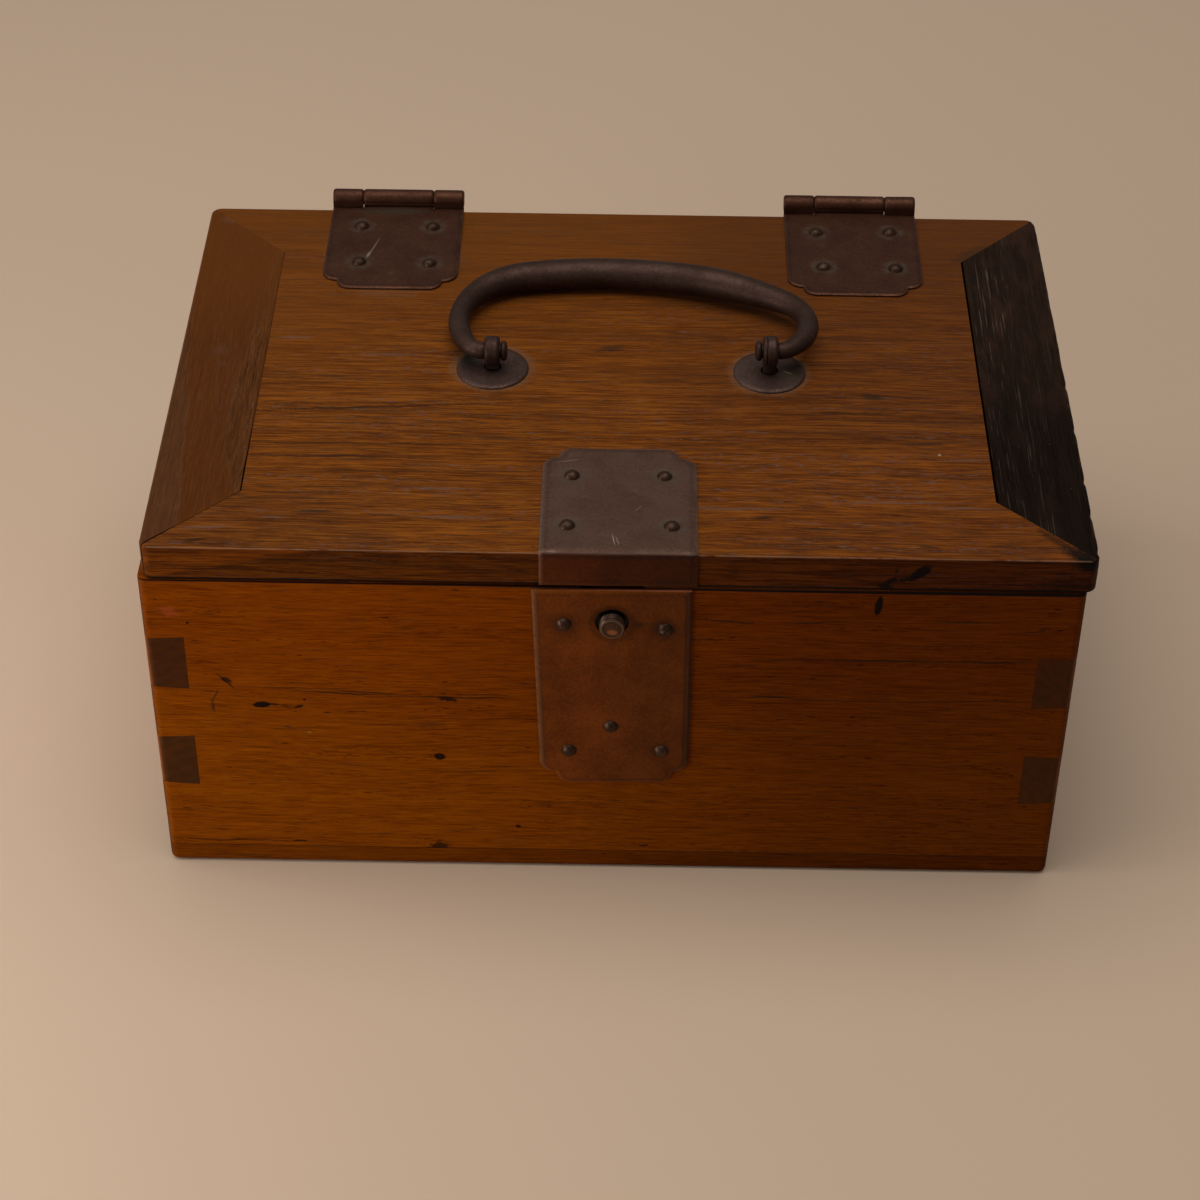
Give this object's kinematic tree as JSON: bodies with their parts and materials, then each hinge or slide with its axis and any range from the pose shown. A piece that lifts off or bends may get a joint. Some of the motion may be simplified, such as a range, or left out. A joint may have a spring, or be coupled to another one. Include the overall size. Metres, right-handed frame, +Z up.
{
  "type": "stamp box",
  "caption": "Small dovetailed wooden box with a hinged lid, copper surface hinges, a folding bail handle on top and a push-button catch in front.",
  "frame": {"origin": "centre of the case's flat underside, where the box stands", "axes": "+X to the right seen from the front, +Y to the hinges at the back, +Z up"},
  "size_m": [0.2427, 0.1668, 0.1223],
  "materials": {
    "case_wood": "old clear lacquer over orange-brown wood, satin",
    "peg_wood": "bare pale wood",
    "lid_wood": "old clear lacquer over orange-brown wood, satin",
    "left_cap_wood": "brown wood, satin",
    "right_cap_wood": "near-black stained wood, worn",
    "plate_copper": "dark brown patinated copper",
    "lock_copper": "reddish brown patinated copper",
    "nail_copper": "dark patinated copper",
    "handle_copper": "dark patinated copper, rubbed smooth",
    "button_copper": "dark copper with a rubbed edge",
    "spring_metal": "plain spring metal",
    "pin_iron": "dull iron"
  },
  "bodies": {
    "case": {"front_board": "case_wood", "back_board": "case_wood", "left_board": "case_wood", "right_board": "case_wood", "bottom_board": "case_wood", "bottom_pegs": "peg_wood", "case_leaf_left": "plate_copper", "case_leaf_right": "plate_copper", "case_leaf_nails": "nail_copper", "hinge_pin_left": "pin_iron", "hinge_pin_right": "pin_iron", "lock_plate": "lock_copper", "lock_plate_nails": "nail_copper", "latch_spring": "spring_metal", "spring_rivet": "nail_copper"},
    "lid": {"lid_panel": "lid_wood", "lid_end_left": "left_cap_wood", "lid_end_right": "right_cap_wood", "lid_leaf_left": "plate_copper", "lid_leaf_right": "plate_copper", "lid_leaf_nails": "nail_copper", "lid_plate": "plate_copper", "lid_plate_nails": "nail_copper", "catch_tongue": "plate_copper", "washer_left": "plate_copper", "washer_right": "plate_copper", "handle_eye_left": "handle_copper", "handle_eye_right": "handle_copper"},
    "bail": {"handle_bail": "handle_copper"},
    "button": {"push_button": "button_copper"}
  },
  "joints": [
    {"name": "lid_hinge", "type": "hinge", "parent": "case", "child": "lid", "pos_m": [0.0015, 0.08175, 0.11345], "axis": [-1, 0, 0], "range_deg": [0, 180]},
    {"name": "bail_swing", "type": "hinge", "parent": "lid", "child": "bail", "pos_m": [0.00415, -0.0002, 0.11755], "axis": [0.9999, 0, 0.0173], "range_deg": [0, 180]},
    {"name": "button_press", "type": "slide", "parent": "case", "child": "button", "axis": [0, 1, 0], "range_m": [0, 0.002], "stiffness_N_per_m": 1000, "springref_m": -0.0005, "deforming": ["latch_spring"]}
  ]
}
